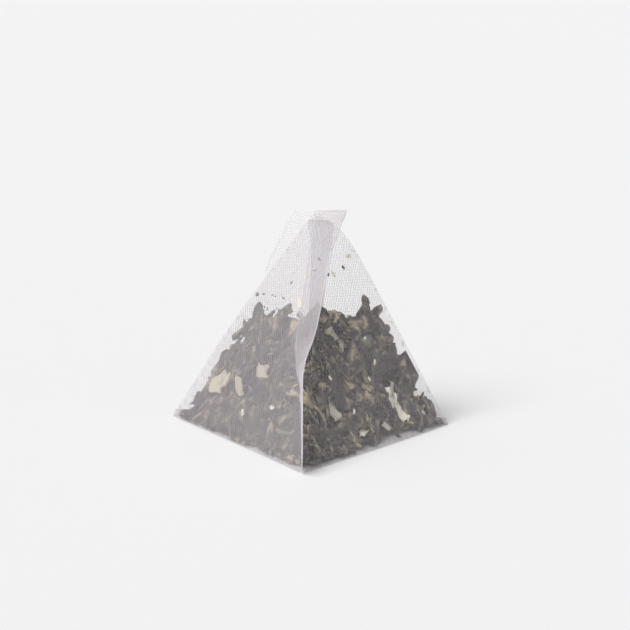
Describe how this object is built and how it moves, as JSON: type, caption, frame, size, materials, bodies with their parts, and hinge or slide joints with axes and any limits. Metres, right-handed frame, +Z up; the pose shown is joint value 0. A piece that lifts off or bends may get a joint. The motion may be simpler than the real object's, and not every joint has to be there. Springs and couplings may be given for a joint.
{
  "type": "pyramid tea bag",
  "caption": "Pyramid tea bag: clear woven nylon mesh, welded along two edges at right angles, holding rolled dark tea leaves, pale petals and stalks.",
  "frame": {"origin": "middle of the bounding box's underside, on the surface the bag rests on", "axes": "+Z up, -Y towards the sloping front weld and its flap, +Y towards the rear weld on the floor, +X to the right seen from the front"},
  "size_m": [0.0582, 0.0582, 0.0463],
  "materials": {
    "woven_nylon": "fine clear monofilament weave with a soft sheen",
    "dried_leaf": "dry wrinkled leaf, slightly glossy",
    "dried_petal": "dry matte petal",
    "dried_stalk": "dry matte stalk"
  },
  "bodies": {
    "root": {"mesh_pouch": "woven_nylon", "petal_01": "dried_petal", "petal_02": "dried_petal", "petal_03": "dried_petal", "petal_04": "dried_petal", "petal_05": "dried_petal", "petal_06": "dried_petal", "petal_07": "dried_petal", "petal_08": "dried_petal", "petal_09": "dried_petal", "petal_10": "dried_petal", "petal_11": "dried_petal", "petal_12": "dried_petal", "stalk_01": "dried_stalk", "stalk_02": "dried_stalk", "stalk_03": "dried_stalk", "tea_leaf_01": "dried_leaf", "tea_leaf_02": "dried_leaf", "tea_leaf_03": "dried_leaf", "tea_leaf_04": "dried_leaf", "tea_leaf_05": "dried_leaf", "tea_leaf_06": "dried_leaf", "tea_leaf_07": "dried_leaf", "tea_leaf_08": "dried_leaf", "tea_leaf_09": "dried_leaf", "tea_leaf_10": "dried_leaf", "tea_leaf_11": "dried_leaf", "tea_leaf_12": "dried_leaf", "tea_leaf_13": "dried_leaf", "tea_leaf_14": "dried_leaf", "tea_leaf_15": "dried_leaf", "tea_leaf_16": "dried_leaf", "tea_leaf_17": "dried_leaf", "tea_leaf_18": "dried_leaf", "tea_leaf_19": "dried_leaf", "tea_leaf_20": "dried_leaf", "tea_leaf_21": "dried_leaf", "tea_leaf_22": "dried_leaf", "tea_leaf_23": "dried_leaf", "tea_leaf_24": "dried_leaf", "tea_leaf_25": "dried_leaf", "tea_leaf_26": "dried_leaf", "tea_leaf_27": "dried_leaf", "tea_leaf_28": "dried_leaf", "tea_leaf_29": "dried_leaf", "tea_leaf_30": "dried_leaf"}
  },
  "joints": []
}
